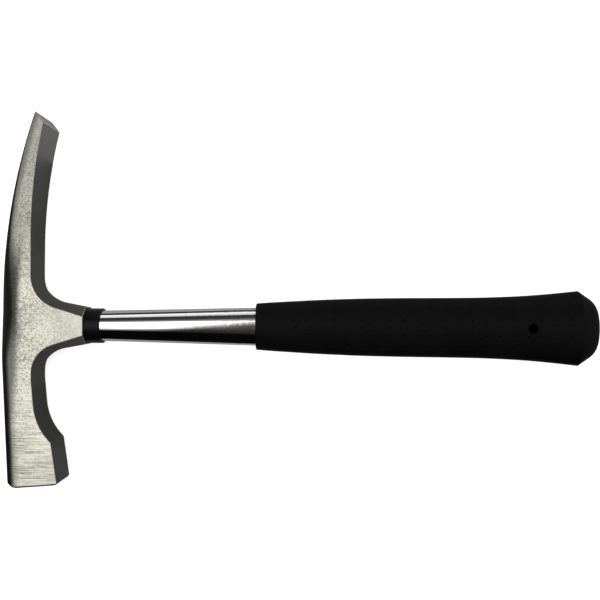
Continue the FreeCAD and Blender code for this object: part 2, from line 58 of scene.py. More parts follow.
# Where the main forms lie
HEAD_LOW, HEAD_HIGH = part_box("hammer_head")
TUBE_LOW, TUBE_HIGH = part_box("shaft_tube")
GRIP_LOW, GRIP_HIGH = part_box("grip_sleeve")
COLLAR_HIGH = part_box("neck_collar")[1]
PLUG_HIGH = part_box("tube_end_plug")[1]
MID_Z = (TUBE_LOW.z + TUBE_HIGH.z) / 2
AXIS_Y = (TUBE_LOW.y + TUBE_HIGH.y) / 2
BLADE_REACH = HEAD_HIGH.y - AXIS_Y
HANG_HOLE = next(mount for mount in frame["record"]["mounts"] if mount["name"] == "hang_hole")


# ---------------------------------------------------------------- materials

class Shader:
    """A node material, built up with short calls."""

    def __init__(self, name, **constants):
        self.material = bpy.data.materials.new(name)
        self.material.use_nodes = True
        self.tree = self.material.node_tree
        self.surface = self.tree.nodes["Principled BSDF"]
        for socket, number in constants.items():
            self.surface.inputs[socket.replace("_", " ")].default_value = number

    def connect(self, source, target):
        """Links a socket to the target, or sets the target to a constant."""
        if isinstance(source, bpy.types.NodeSocket):
            self.tree.links.new(source, target)
        else:
            target.default_value = source

    def node(self, kind, links=None, **settings):
        """A new node: links fills its inputs, and settings are its options."""
        node = self.tree.nodes.new(kind)
        for name, setting in settings.items():
            setattr(node, name, setting)
        for socket, source in (links or {}).items():
            self.connect(source, node.inputs[socket])
        return node

    def place(self):
        """Position on the hammer, in metres."""
        return self.node("ShaderNodeTexCoord").outputs["Object"]

    def position(self):
        """Position in the studio, in metres."""
        return self.node("ShaderNodeNewGeometry").outputs["Position"]

    def stretched(self, vector, scale):
        return self.node("ShaderNodeMapping", {"Vector": vector, "Scale": scale}).outputs["Vector"]

    def noise(self, vector, scale, detail=3.0, roughness=0.55):
        node = self.node("ShaderNodeTexNoise", {"Vector": vector, "Scale": scale,
                                                "Detail": detail, "Roughness": roughness})
        return node.outputs["Fac"]

    def span(self, source, low, high, to_low=0.0, to_high=1.0, smooth=False):
        """The source taken from low..high to to_low..to_high, and held at both ends."""
        node = self.node("ShaderNodeMapRange", {"Value": source, "From Min": low, "From Max": high,
                                                "To Min": to_low, "To Max": to_high},
                         interpolation_type="SMOOTHSTEP" if smooth else "LINEAR")
        return node.outputs["Result"]

    def math(self, operation, first, second=0.5):
        return self.node("ShaderNodeMath", {0: first, 1: second}, operation=operation).outputs[0]

    def mixed(self, kind, data_type, factor, first, second):
        node = self.node("ShaderNodeMix", data_type=data_type)
        sources = {"Factor_Float": factor, "A_" + kind: first, "B_" + kind: second}
        for target in node.inputs:
            if target.identifier in sources:
                self.connect(sources[target.identifier], target)
        return next(item for item in node.outputs if item.identifier == "Result_" + kind)

    def mix(self, factor, first, second):
        """A colour between two colours."""
        return self.mixed("Color", "RGBA", factor, first, second)

    def blend(self, factor, first, second):
        """A number between two numbers."""
        return self.mixed("Float", "FLOAT", factor, first, second)

    def axis(self, vector, name):
        return self.node("ShaderNodeSeparateXYZ", {"Vector": vector}).outputs[name]

    def feed(self, socket, source):
        self.tree.links.new(source, self.surface.inputs[socket])

    def bump(self, height, strength, distance, normal=None):
        links = {"Height": height, "Strength": strength, "Distance": distance}
        if normal:
            links["Normal"] = normal
        self.feed("Normal", self.node("ShaderNodeBump", links).outputs["Normal"])


def grey(level, warmth=0.0):
    """A nearly neutral colour of this linear level, a little warmer or cooler."""
    return (level * (1 + warmth), level, level * (1 - warmth), 1.0)


# Most of what a noise gives lies in this range.
NOISE_MIDDLE = (0.3, 0.7)

# The head's ground steel, from its dark grain to its light one, and polished; then the colours of its
# painted shade, of its painted edge highlight and of the near-black painted shade beside the eye
STEEL_DARK = (0.18, 0.177, 0.152, 1)
STEEL_LIGHT = (0.62, 0.61, 0.525, 1)
STEEL_POLISHED = (0.45, 0.445, 0.385, 1)
STEEL_PAINTED_SHADE = (0.08, 0.08, 0.072, 1)
STEEL_EDGE_HIGHLIGHT = (0.78, 0.77, 0.70, 1)
STEEL_SHADE_BLACK = grey(0.006)
# Its lacquer, dark and light, on the sides that face the handle and on the outer face: one lacquer,
# painted lighter as a reflection on the handle's sides and darker as shade on the outer face; and the
# painted reflection that lightens it further
LACQUER_HANDLE_LIT = ((0.036, 0.036, 0.031, 1), (0.054, 0.054, 0.048, 1))
LACQUER_OUTER_SHADED = ((0.0035, 0.0035, 0.003, 1), (0.007, 0.007, 0.006, 1))
LACQUER_PAINTED_LIGHT = (0.13, 0.13, 0.125, 1)
# The normal's X where the outer face's lacquer, painted in shade, gives way to that of the handle's
# side, painted lighter
FACING_EITHER = (-0.1, 0.1)

# Stretches of the head, from the handle's axis: positive on the blade, negative on the poll
BRUSHING_STARTS = (-25 * MM, -60 * MM)
# Where painted shade darkens the cheeks: towards the blade's edge, and about the eye
BLADE_SHADE_GROWS = (10 * MM, 48 * MM)
BLADE_SHADE_GROWS_FURTHER = (48 * MM, BLADE_REACH)
EYE_SHADE_GROWS = (-52 * MM, -30 * MM)
EYE_CLEARS = (5 * MM, 25 * MM)
EDGE_WIDENS = (50 * MM, 15 * MM)
# Where the near-black painted shade beside the eye starts and ends
EYE_SHADE_STARTS = (-20 * MM, 4 * MM)
EYE_SHADE_ENDS = (50 * MM, 22 * MM)
# Where painted reflection lightens the lacquer on the handle's sides
LACQUER_LIGHTENS_BLADE = (20 * MM, BLADE_REACH)
LACQUER_LIGHTENS_POLL = (-48 * MM, -60 * MM)

# Stretches across the cheeks, inwards from the head's outer edge
# The painted shade along the outer edge: where it fades, and how much wider it grows beside the eye
EDGE_FADES = (1.5 * MM, 7.5 * MM)
EDGE_WIDER = 3.2 * MM
# How far inwards the near-black painted shade beside the eye fades
EYE_SHADE_FADES = (7.0 * MM, 10.6 * MM)
POLISH_GROWS = (12 * MM, 39 * MM)

# The outer edge itself: the blade's curve and the poll's lean
BLADE_CURVE = 303 * MM
POLL_LEAN = math.tan(math.radians(2.86))

# How level a surface lies, as its normal's Z, where grinding starts and where it is full
GROUND_LEVEL = (0.90, 0.998)
# How far the normal turns, as a cosine, where an edge's painted highlight is nothing and where it is
# full
EDGE_HIGHLIGHT_TURN = (0.97, 0.90)
# The radius that sharp edges seem to have
EDGE_EASING = 0.5 * MM


def from_outer_edge(shader, place, reach):
    """How far a place on the head lies from the head's curved outer edge."""
    blade = shader.math("MAXIMUM", reach, 0.0)
    poll = shader.math("MULTIPLY", shader.math("MINIMUM", reach, 0.0), -POLL_LEAN)
    sag = shader.math("DIVIDE", shader.math("MULTIPLY", blade, blade), 2 * BLADE_CURVE)
    inward = shader.math("SUBTRACT", shader.axis(place, "X"), HEAD_LOW.x)
    return shader.math("SUBTRACT", inward, shader.math("ADD", sag, poll))


def steel_texture(shader, place, reach):
    """Brush strokes on the poll and an even grain everywhere else."""
    strokes = shader.noise(shader.stretched(place, (0.12, 2.2, 1.0)), 800.0, 4.0, 0.7)
    grains = shader.noise(place, 1300.0, 3.0, 0.7)
    brushed = shader.span(reach, *BRUSHING_STARTS, to_low=0.2, to_high=0.75, smooth=True)
    return shader.blend(brushed, grains, strokes)


def steel_painted_shade(shader, reach):
    """Painted shade on the grind: darker towards the blade's edge and about the eye."""
    blade = shader.math("ADD", shader.span(reach, *BLADE_SHADE_GROWS, to_high=0.53, smooth=True),
                        shader.span(reach, *BLADE_SHADE_GROWS_FURTHER, to_high=0.16))
    eye = shader.math("MINIMUM", shader.span(reach, *EYE_SHADE_GROWS, to_high=0.14),
                      shader.span(reach, *EYE_CLEARS, to_low=0.14, to_high=0.0))
    return shader.math("ADD", blade, eye)


def ground_steel(shader, texture, clouds, reach, inward):
    """The cheeks' colour, darkened by painted shade along the outer edge, most beside the eye, and
    towards the blade's edge and about the eye.
    """
    tone = shader.math("ADD", shader.math("MULTIPLY", texture, 0.75),
                       shader.math("MULTIPLY", clouds, 0.2))
    fresh = shader.mix(shader.span(tone, 0.395, 0.555), STEEL_DARK, STEEL_LIGHT)
    plain = shader.mix(shader.span(inward, *POLISH_GROWS, to_high=0.7), fresh, STEEL_POLISHED)
    beside_eye = shader.span(shader.math("ABSOLUTE", reach), *EDGE_WIDENS, smooth=True)
    wider = shader.math("MULTIPLY", beside_eye, EDGE_WIDER)
    edge = shader.span(shader.math("SUBTRACT", inward, wider), *EDGE_FADES,
                       to_low=0.93, to_high=0.0, smooth=True)
    painted_shade = steel_painted_shade(shader, reach)
    # Both darkenings are painted shade, drawn towards one dark steel.
    return shader.mix(shader.math("MAXIMUM", painted_shade, edge), plain, STEEL_PAINTED_SHADE)


def head_lacquer(shader, clouds, reach, across):
    """The dark lacquer, painted lighter on the handle's side than on the outer face, and lighter still
    towards the blade's edge and on the poll: painted reflection and shade.
    """
    lightening = shader.math("MAXIMUM",
                       shader.span(reach, *LACQUER_LIGHTENS_BLADE, to_low=0.15, to_high=0.5),
                       shader.span(reach, *LACQUER_LIGHTENS_POLL, to_high=0.35))
    # Painted reflection: the handle's side lighter, and lighter still towards the blade's edge and on
    # the poll
    handle_side = shader.mix(lightening, shader.mix(clouds, *LACQUER_HANDLE_LIT), LACQUER_PAINTED_LIGHT)
    outer_side = shader.mix(clouds, *LACQUER_OUTER_SHADED)
    return shader.mix(shader.span(across, *FACING_EITHER), outer_side, handle_side)


def forged_steel():
    """Ground cheeks between dark lacquered sides, with painted shade on the cheeks and a painted
    highlight along sharp edges.
    """
    shader = Shader("forged_steel")
    place = shader.place()
    reach = shader.math("SUBTRACT", shader.axis(place, "Y"), AXIS_Y)
    inward = from_outer_edge(shader, place, reach)
    normal = shader.node("ShaderNodeNewGeometry").outputs["Normal"]
    eased = shader.node("ShaderNodeBevel", {"Radius": EDGE_EASING}, samples=6).outputs["Normal"]
    across = shader.axis(normal, "X")
    speckle = shader.noise(place, 700.0, 4.0)
    clouds = shader.noise(place, 60.0, 3.0, 0.6)
    texture = steel_texture(shader, place, reach)

    level = shader.math("ABSOLUTE", shader.axis(normal, "Z"))
    ragged = shader.math("ADD", level, shader.span(speckle, *NOISE_MIDDLE, -0.015, 0.015))
    ground = shader.span(ragged, *GROUND_LEVEL, smooth=True)
    coat = shader.mix(ground, head_lacquer(shader, clouds, reach, across),
                      ground_steel(shader, texture, clouds, reach, inward))
    # Near-black painted shade beside the eye, which runs furthest onto the cheek on the blade's side of
    # the eye.
    by_eye = shader.math("MINIMUM", shader.span(reach, *EYE_SHADE_STARTS, smooth=True),
                         shader.span(reach, *EYE_SHADE_ENDS, smooth=True))
    black = shader.math("MULTIPLY", by_eye, shader.span(inward, *EYE_SHADE_FADES, to_low=0.8,
                                                        to_high=0.0, smooth=True))
    # A painted highlight along sharp edges, where the eased normal turns from the true one.
    turn = shader.node("ShaderNodeVectorMath", {0: normal, 1: eased}, operation="DOT_PRODUCT")
    uneven = shader.math("ADD", turn.outputs["Value"],
                         shader.span(speckle, *NOISE_MIDDLE, -0.03, 0.03))
    edge_highlight = shader.span(uneven, *EDGE_HIGHLIGHT_TURN)

    dark = shader.mix(black, coat, STEEL_SHADE_BLACK)
    shader.feed("Base Color", shader.mix(edge_highlight, dark, STEEL_EDGE_HIGHLIGHT))
    shader.feed("Metallic", shader.math("MAXIMUM", ground, edge_highlight))
    shader.feed("Roughness", shader.blend(ground, 0.5, shader.blend(texture, 0.36, 0.52)))
    shader.feed("Specular IOR Level", shader.span(across, *FACING_EITHER, 0.12, 0.06))
    shader.bump(texture, 0.2, 0.08 * MM, eased)
    return shader.material


def chromed_tube():
    """Bright plate, a little uneven, and pitted towards the grip."""
    shader = Shader("chromed_tube", Metallic=1.0)
    place = shader.place()
    pits_start = COLLAR_HIGH.x + 25 * MM
    smears = shader.noise(shader.stretched(place, (0.3, 1.0, 1.0)), 60.0, 4.0)
    pits = shader.noise(shader.stretched(place, (0.6, 1.0, 1.0)), 800.0, 4.0, 0.65)
    worn = shader.span(shader.axis(place, "X"), pits_start, GRIP_LOW.x, smooth=True)
    shader.feed("Roughness", shader.math("ADD", shader.span(smears, 0.3, 0.75, 0.03, 0.07),
                                         shader.math("MULTIPLY", worn, 0.06)))
    shader.bump(pits, shader.math("MULTIPLY", worn, 0.8), 0.06 * MM)
    shader.feed("Base Color", shader.mix(smears, (0.56, 0.56, 0.565, 1), (0.66, 0.66, 0.66, 1)))
    return shader.material


def collar_black():
    shader = Shader("collar_black", Specular_IOR_Level=0.10)
    grain = shader.noise(shader.place(), 1400.0)
    shader.feed("Base Color", shader.mix(grain, grey(0.0012), grey(0.004)))
    shader.feed("Roughness", shader.span(grain, *NOISE_MIDDLE, 0.36, 0.46))
    shader.bump(grain, 0.2, 0.05 * MM)
    return shader.material


def grip_rubber():
    shader = Shader("grip_rubber", Specular_IOR_Level=0.05)
    place = shader.place()
    grain = shader.noise(place, 2200.0, 4.0)
    dust = shader.noise(place, 70.0, 3.0)
    shader.feed("Base Color", shader.mix(dust, grey(0.0020), grey(0.0036)))
    shader.feed("Roughness", shader.span(dust, *NOISE_MIDDLE, 0.50, 0.62))
    shader.bump(grain, 0.3, 0.06 * MM)
    return shader.material


def core_wood():
    """End grain: growth rings across the plug, with fine pores."""
    shader = Shader("core_wood", Roughness=0.7)
    place = shader.place()
    wave = shader.node("ShaderNodeTexWave", {"Vector": place, "Scale": 160.0, "Distortion": 3.0,
                                             "Detail": 2.0, "Detail Scale": 1.5},
                       wave_type="RINGS", rings_direction="X")
    pores = shader.noise(shader.stretched(place, (0.1, 1.0, 1.0)), 3500.0, 2.0)
    rings = shader.mix(wave.outputs["Fac"], (0.30, 0.17, 0.08, 1), (0.52, 0.34, 0.18, 1))
    dark = shader.span(pores, 0.62, 0.75)
    shader.feed("Base Color", shader.mix(dark, rings, (0.12, 0.06, 0.03, 1)))
    shader.bump(pores, 0.4, 0.1 * MM)
    return shader.material


def wedge_steel():
    shader = Shader("wedge_steel", Metallic=1.0)
    scale = shader.noise(shader.place(), 400.0, 5.0, 0.65)
    shader.feed("Base Color", shader.mix(scale, grey(0.22, 0.03), grey(0.42, 0.02)))
    shader.feed("Roughness", shader.span(scale, *NOISE_MIDDLE, 0.4, 0.65))
    shader.bump(scale, 0.4, 0.1 * MM)
    return shader.material


def plug_plastic():
    shader = Shader("plug_plastic", Specular_IOR_Level=0.45)
    flow = shader.noise(shader.stretched(shader.place(), (0.4, 1.0, 1.0)), 500.0, 3.0)
    shader.feed("Base Color", shader.mix(flow, grey(0.02), grey(0.04)))
    shader.feed("Roughness", shader.span(flow, *NOISE_MIDDLE, 0.4, 0.55))
    shader.bump(flow, 0.15, 0.05 * MM)
    return shader.material


MATERIALS = {
    "hammer_head": forged_steel(),
    "shaft_tube": chromed_tube(),
    "neck_collar": collar_black(),
    "grip_sleeve": grip_rubber(),
    "core_plug": core_wood(),
    "eye_wedge": wedge_steel(),
    "tube_end_plug": plug_plastic(),
}


def paint(item, material):
    item.data.materials.clear()
    item.data.materials.append(material)


for name, node in frame["nodes"].items():
    paint(node, MATERIALS[name])


# ---------------------------------------------------------- making the skins

SHARP_ANGLE = math.radians(32)
HEAD_SHARP_ANGLE = math.radians(22)
# A skin's first and last rings lie just inside the solid's ends, where rays still meet it.
TUBE_END_GAP = 0.01 * MM
GRIP_END_GAP = 0.02 * MM
# Where an oval's depth is measured, as a share of its half height: beside the hang hole
BESIDE_HOLE = 0.4
# An evened section takes in its neighbours, this many on each side and the nearest most.
NEIGHBOURS = 3


class Outside:
    """A CAD node's outside, measured by rays that come from beyond it."""

    def __init__(self, name):
        graph = bpy.context.evaluated_depsgraph_get()
        self.rays = BVHTree.FromObject(frame["nodes"][name], graph)

    def halves(self, x):
        """Half of the oval's height along Y and of its depth along Z."""
        beyond = GRIP_HIGH.y - GRIP_LOW.y
        from_side = Vector((x, AXIS_Y + beyond, MID_Z))
        height = self.rays.ray_cast(from_side, Vector((0, -1, 0)))[0].y - AXIS_Y
        from_above = Vector((x, AXIS_Y + BESIDE_HOLE * height, MID_Z + beyond))
        rise = self.rays.ray_cast(from_above, Vector((0, 0, -1)))[0].z - MID_Z
        return height, rise / math.sqrt(1 - BESIDE_HOLE ** 2)

    def smooth_halves(self, x, low, high, reach=6 * MM):
        """The same, evened out over the stretch that lies between low and high."""
        reach = min(reach, x - low, high - x)
        steps = range(-NEIGHBOURS, NEIGHBOURS + 1)
        weights = [NEIGHBOURS + 1 - abs(step) for step in steps]
        found = [self.halves(x + reach * step / NEIGHBOURS) for step in steps]
        return tuple(sum(weight * pair[side] for weight, pair in zip(weights, found)) / sum(weights)
                     for side in (0, 1))


def spread(low, high, step):
    """Evenly spaced places from low to high, about a step apart."""
    count = max(1, round((high - low) / step))
    return [low + (high - low) * number / count for number in range(count + 1)]


def quads(pairs, around):
    """Faces between pairs of rings that have this many points around."""
    faces = []
    for near, far in pairs:
        for number in range(around):
            after = (number + 1) % around
            faces.append((near * around + number, near * around + after,
                          far * around + after, far * around + number))
    return faces


def lids(total, around):
    """Faces that close the first ring and the last, of this many points in all."""
    return [tuple(reversed(range(around))), tuple(range(total - around, total))]


def shade(mesh, sharp):
    """Smooth, but for edges that are sharper than this angle."""
    mesh.shade_smooth()
    mesh.set_sharp_from_angle(angle=sharp)


def finish_mesh(mesh, sharp=SHARP_ANGLE):
    """Turns the faces outward and shades them."""
    work = bmesh.new()
    work.from_mesh(mesh)
    bmesh.ops.recalc_face_normals(work, faces=work.faces)
    work.to_mesh(mesh)
    work.free()
    shade(mesh, sharp)


def new_mesh(name, verts, faces):
    mesh = bpy.data.meshes.new(name)
    mesh.from_pydata(verts, [], faces)
    finish_mesh(mesh)
    return mesh


def sweep(name, rings, angles, closed_ends, dent=None):
    """A skin over oval rings of (x, half height, half depth) along X.

    Angles start at +Z and turn towards +Y. dent gives how far a place on the skin is
    pressed in. Without closed ends, the last ring is joined to the first.
    """
    verts = []
    for x, height, depth in rings:
        for angle in angles:
            normal = Vector((0, math.sin(angle) / height, math.cos(angle) / depth)).normalized()
            point = Vector((x, AXIS_Y + height * math.sin(angle), MID_Z + depth * math.cos(angle)))
            if dent:
                point -= normal * dent(x, angle, height, depth)
            verts.append(point)
    around = len(angles)
    pairs = [(ring, ring + 1) for ring in range(len(rings) - 1)]
    if closed_ends:
        return new_mesh(name, verts, quads(pairs, around) + lids(len(verts), around))
    return new_mesh(name, verts, quads(pairs + [(len(rings) - 1, 0)], around))


def piece(name, mesh, replaced):
    """A visible piece that stands for a CAD node."""
    item = bpy.data.objects.new(name, mesh)
    bpy.context.scene.collection.objects.link(item)
    paint(item, MATERIALS[replaced])
    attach(item, "root")
    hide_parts(replaced)
    return item


# ------------------------------------------------------------------ the tube

TUBE_WALL = 1.5 * MM
TUBE_TURN = math.radians(2.5)
# How far apart the tube's rings lie: under the collar, in the open and in the grip
STEP_IN_COLLAR = 0.5 * MM
STEP_IN_OPEN = 1.5 * MM
STEP_IN_GRIP = 8 * MM
# The open tube is evened out over this far on both sides of a ring.
TUBE_EVENING = 25 * MM


def build_tube():
    """The tube with an even swell, which its chrome needs, between collar and grip."""
    outside = Outside("shaft_tube")
    low, high = COLLAR_HIGH.x, GRIP_LOW.x
    rings = []
    for x in spread(TUBE_LOW.x + TUBE_END_GAP, low, STEP_IN_COLLAR)[:-1]:
        rings.append((x, *outside.halves(x)))
    for x in spread(low, high, STEP_IN_OPEN):
        rings.append((x, *outside.smooth_halves(x, low, high, TUBE_EVENING)))
    for x in spread(high, TUBE_HIGH.x - TUBE_END_GAP, STEP_IN_GRIP)[1:]:
        rings.append((x, *outside.halves(x)))
    inner = [(x, height - TUBE_WALL, depth - TUBE_WALL) for x, height, depth in reversed(rings)]
    angles = spread(0, 2 * math.pi, TUBE_TURN)[:-1]
    mesh = sweep("tube_skin", rings + inner, angles, closed_ends=False)
    piece("tube", mesh, "shaft_tube")


# ------------------------------------------------------------------ the grip

# Dimples on both broad sides: one by itself, a column of two, and then columns of four. A
# row keeps its share of the grip's half height.
DIMPLE_RADIUS = 0.72 * MM
DIMPLE_DEPTH = 0.5 * MM
DIMPLE_PITCH = 6.51 * MM
DIMPLE_COUNT = 20
FIRST_DIMPLE = GRIP_LOW.x + 19.2 * MM
DIMPLE_FIRST_GAP = 5.2 * MM
INNER_ROW = math.asin(0.263)
OUTER_ROW = math.asin(0.675)
# The grip's ends and its bore
RIM = 0.6 * MM
RIM_TURNS = (0, math.radians(30), math.radians(60))
BORE_CLEARANCE = 0.05 * MM
BUTT_CHAMFER = 9.8 * MM
BUTT_SLOPE = math.radians(34.2)
BUTT_ROUND = 10.0 * MM
BUTT_STEPS = 8
# The hang hole's rounded rim
HOLE_RIM = 0.5 * MM
HOLE_RIM_STEPS = 4
HOLE_POINTS = 48
CUTTER_BEYOND = 2 * MM
# The grip's mesh: fine across the dimples, coarse between them
DIMPLE_STEPS = 4
COARSE_STEP = 2.0 * MM
COARSE_GAP = 0.5 * MM
FINE_TURN = 0.2 * MM / ((GRIP_HIGH.y - GRIP_LOW.y) / 2)
FINE_TURNS = 6
COARSE_TURN = math.radians(3.5)
COARSE_TURN_GAP = math.radians(1.2)


def dimple_columns():
    """Places along X, each with the angles of its dimples on the upper broad side."""
    columns = [(FIRST_DIMPLE, [0.0])]
    for number in range(DIMPLE_COUNT):
        rows = [INNER_ROW, -INNER_ROW]
        if number:
            rows += [OUTER_ROW, -OUTER_ROW]
        columns.append((FIRST_DIMPLE + DIMPLE_FIRST_GAP + number * DIMPLE_PITCH, rows))
    return columns


DIMPLE_COLUMNS = dimple_columns()


def dimple_depth(x, angle, height, depth):
    """How far the dimples press in a place on an oval ring."""
    for column, rows in DIMPLE_COLUMNS:
        if abs(x - column) >= DIMPLE_RADIUS:
            continue
        for row in rows:
            for side in (0.0, math.pi):
                turn = (angle - row - side + math.pi) % (2 * math.pi) - math.pi
                along = turn * math.hypot(height * math.cos(angle), depth * math.sin(angle))
                share = math.hypot(x - column, along) / DIMPLE_RADIUS
                if share < 1:
                    return DIMPLE_DEPTH * (1 - share ** 2)
    return 0.0


def merged(fine, coarse, gap):
    """Fine places, with the coarse ones that stay at least a gap away from them."""
    kept = [place for place in coarse if all(abs(place - near) > gap for near in fine)]
    return sorted(fine + kept)


def grip_angles():
    """Angles around the grip, close together where the rows of dimples lie."""
    fine = []
    for side in (0.0, math.pi):
        for row in (-OUTER_ROW, -INNER_ROW, 0.0, INNER_ROW, OUTER_ROW):
            fine += [(side + row + FINE_TURN * number) % (2 * math.pi)
                     for number in range(-FINE_TURNS, FINE_TURNS + 1)]
    coarse = spread(0, 2 * math.pi, COARSE_TURN)[:-1]
    return merged(fine, coarse, COARSE_TURN_GAP)


def grip_rings():
    """The grip's outside from its first rim to the middle of its butt."""
    outside = Outside("grip_sleeve")
    low = GRIP_LOW.x + RIM + GRIP_END_GAP
    high = GRIP_HIGH.x - BUTT_CHAMFER - GRIP_END_GAP
    rings = []
    height, depth = outside.halves(low)
    for turn in RIM_TURNS:
        inset = RIM * (1 - math.sin(turn))
        rings.append((GRIP_LOW.x + RIM * (1 - math.cos(turn)), height - inset, depth - inset))
    fine = [column + DIMPLE_RADIUS * number / DIMPLE_STEPS for column, _ in DIMPLE_COLUMNS
            for number in range(-DIMPLE_STEPS, DIMPLE_STEPS + 1)]
    for x in merged(fine, spread(low, high, COARSE_STEP), COARSE_GAP):
        rings.append((x, *outside.smooth_halves(x, low, high)))
    height, depth = outside.halves(high)
    chamfer = BUTT_CHAMFER - BUTT_ROUND * (1 - math.sin(BUTT_SLOPE))
    for number in range(BUTT_STEPS + 1):
        turn = BUTT_SLOPE + (math.pi / 2 - BUTT_SLOPE) * number / BUTT_STEPS
        inset = (math.tan(BUTT_SLOPE) * chamfer
                 + BUTT_ROUND * (math.cos(BUTT_SLOPE) - math.cos(turn)))
        rings.append((GRIP_HIGH.x - BUTT_ROUND * (1 - math.sin(turn)), height - inset, depth - inset))
    return rings


def hole_cutter():
    """A post through the hang hole that widens at both ends, for the hole's rounded rim."""
    radius = HANG_HOLE["dims"]["r_mm"] * MM
    half = HANG_HOLE["dims"]["length_mm"] * MM / 2
    upper = []
    for number in range(HOLE_RIM_STEPS + 1):
        turn = math.pi / 2 * number / HOLE_RIM_STEPS
        upper.append((half - HOLE_RIM * (1 - math.sin(turn)), radius + HOLE_RIM * (1 - math.cos(turn))))
    upper.append((half + CUTTER_BEYOND, radius + HOLE_RIM))
    profile = [(-z, wide) for z, wide in reversed(upper)] + upper
    middle = Vector(HANG_HOLE["pos_m"])
    verts = []
    for z, wide in profile:
        for number in range(HOLE_POINTS):
            angle = 2 * math.pi * number / HOLE_POINTS
            verts.append(middle + Vector((wide * math.cos(angle), wide * math.sin(angle), z)))
    pairs = [(ring, ring + 1) for ring in range(len(profile) - 1)]
    faces = quads(pairs, HOLE_POINTS) + lids(len(verts), HOLE_POINTS)
    cutter = bpy.data.objects.new("hole_cutter", new_mesh("hole_cutter", verts, faces))
    bpy.context.scene.collection.objects.link(cutter)
    return cutter


def cut(item, cutter):
    """Takes the cutter's volume out of the item and removes the cutter."""
    change = item.modifiers.new("cut", "BOOLEAN")
    change.object = cutter
    change.operation = "DIFFERENCE"
    change.solver = "EXACT"
    bpy.context.view_layer.update()
    evaluated = item.evaluated_get(bpy.context.evaluated_depsgraph_get())
    item.data = bpy.data.meshes.new_from_object(evaluated)
    item.modifiers.clear()
    bpy.data.objects.remove(cutter)
    shade(item.data, SHARP_ANGLE)


def build_grip():
    """The grip with its dimples, a rounded butt and the hang hole's rim."""
    bore = (TUBE_HIGH.y - TUBE_LOW.y) / 2 + BORE_CLEARANCE
    bore_end = PLUG_HIGH.x + BORE_CLEARANCE
    inside = [(bore_end, bore, bore), (GRIP_LOW.x, bore, bore)]
    mesh = sweep("grip_skin", inside + grip_rings(), grip_angles(), closed_ends=True,
                 dent=dimple_depth)
    cut(piece("grip", mesh, "grip_sleeve"), hole_cutter())


# ------------------------------------------------------------------ the head

# The rounding of the head's outer edges beside the eye: its radius there, how fast it
# grows towards the blade, and how far this stretch reaches on both sides of the eye.
CHEEK_HALF = 12.6 * MM
EYE_ROUND = 6.8 * MM
EYE_ROUND_GROWTH = 0.09
EYE_REACH = 6.2 * MM
SAME_POINT = 0.001 * MM


def rounded_at_eye(point):
    """A point of the head, taken back to the even rounding where it stands proud of it."""
    across = point.y - AXIS_Y
    radius = EYE_ROUND + EYE_ROUND_GROWTH * across
    side = math.copysign(1.0, point.z - MID_Z)
    centre = CHEEK_HALF - radius
    rise = abs(point.z - MID_Z) - centre
    run = radius - (point.x - HEAD_LOW.x)
    length = math.hypot(rise, run)
    if abs(across) > EYE_REACH or rise <= 0 or run <= 0 or length <= radius:
        return point
    share = radius / length
    return Vector((HEAD_LOW.x + radius - run * share, point.y, MID_Z + side * (centre + rise * share)))


def build_head():
    """The head with an even rounding beside the eye."""
    work = bmesh.new()
    work.from_mesh(frame["nodes"]["hammer_head"].data)
    bmesh.ops.remove_doubles(work, verts=work.verts, dist=SAME_POINT)
    for vert in work.verts:
        vert.co = rounded_at_eye(vert.co)
    mesh = bpy.data.meshes.new("head_skin")
    work.to_mesh(mesh)
    work.free()
    if "custom_normal" in mesh.attributes:
        mesh.attributes.remove(mesh.attributes["custom_normal"])
    finish_mesh(mesh, HEAD_SHARP_ANGLE)
    item = piece("head", mesh, "hammer_head")
    item.modifiers.new("even_shading", "WEIGHTED_NORMAL").keep_sharp = True


build_head()
build_tube()
build_grip()


# ------------------------------------------------------------------- studio

# What the world and the floor give as light, where the camera itself sees a strength of 1
WORLD_LIGHT = 0.45
FLOOR_GLOW = 0.6
FLOOR_SIZE = 6.0
FLOOR_MIDDLE = 0.1

OVERHEAD_PLACE = (0, 0.12, 0.9)
OVERHEAD_SIZE = (1.2, 1.0)
OVERHEAD_RADIANCE = 1.9

# Cards stand this far from the handle on both sides, and are this long. The ones on the
# floor lie just above it.
CARD_DISTANCE = 0.6
CARD_LENGTH = 2.4
CARD_LIFT = 1 * MM
# Their weave, and its shade beside the card's colour
WEAVE_SCALE = 30.0
WEAVE_SHADE = 0.8
# The standing cards' upper and lower edges as the tube mirrors them, in degrees off the
# vertical, and where each card's colour starts and is full
BELOW_CARD = (24.0, 91.4)
BELOW_FADES = (26, 46)
ABOVE_CARD = (32.0, 80.0)
ABOVE_FADES = (34, 58)
# How far the cards on the floor reach from the handle
BELOW_NEAR = 0.03
ABOVE_NEAR = 0.036
ABOVE_FAR = 0.080


# A card beyond the head's outer face
LEFT_CARD_PLACE = (-0.7, 0, 0.35)
LEFT_CARD_SIZE = (1.6, 0.6)

# The card that stands for the camera: its slant, and where it is clear and where full
CAMERA_CARD_PLACE = (0.175, 0, 0.56)
CAMERA_CARD_SIZE = (0.85, 1.0)
CAMERA_CARD_FACES = (0.175, 0, 0)
CAMERA_CARD_SLANT = 6.0
CAMERA_CARD_DRIFT = 0.12
CAMERA_CARD_EDGE = (0.86, 0.42)
CAMERA_CARD_END = (-0.03, 0.05)


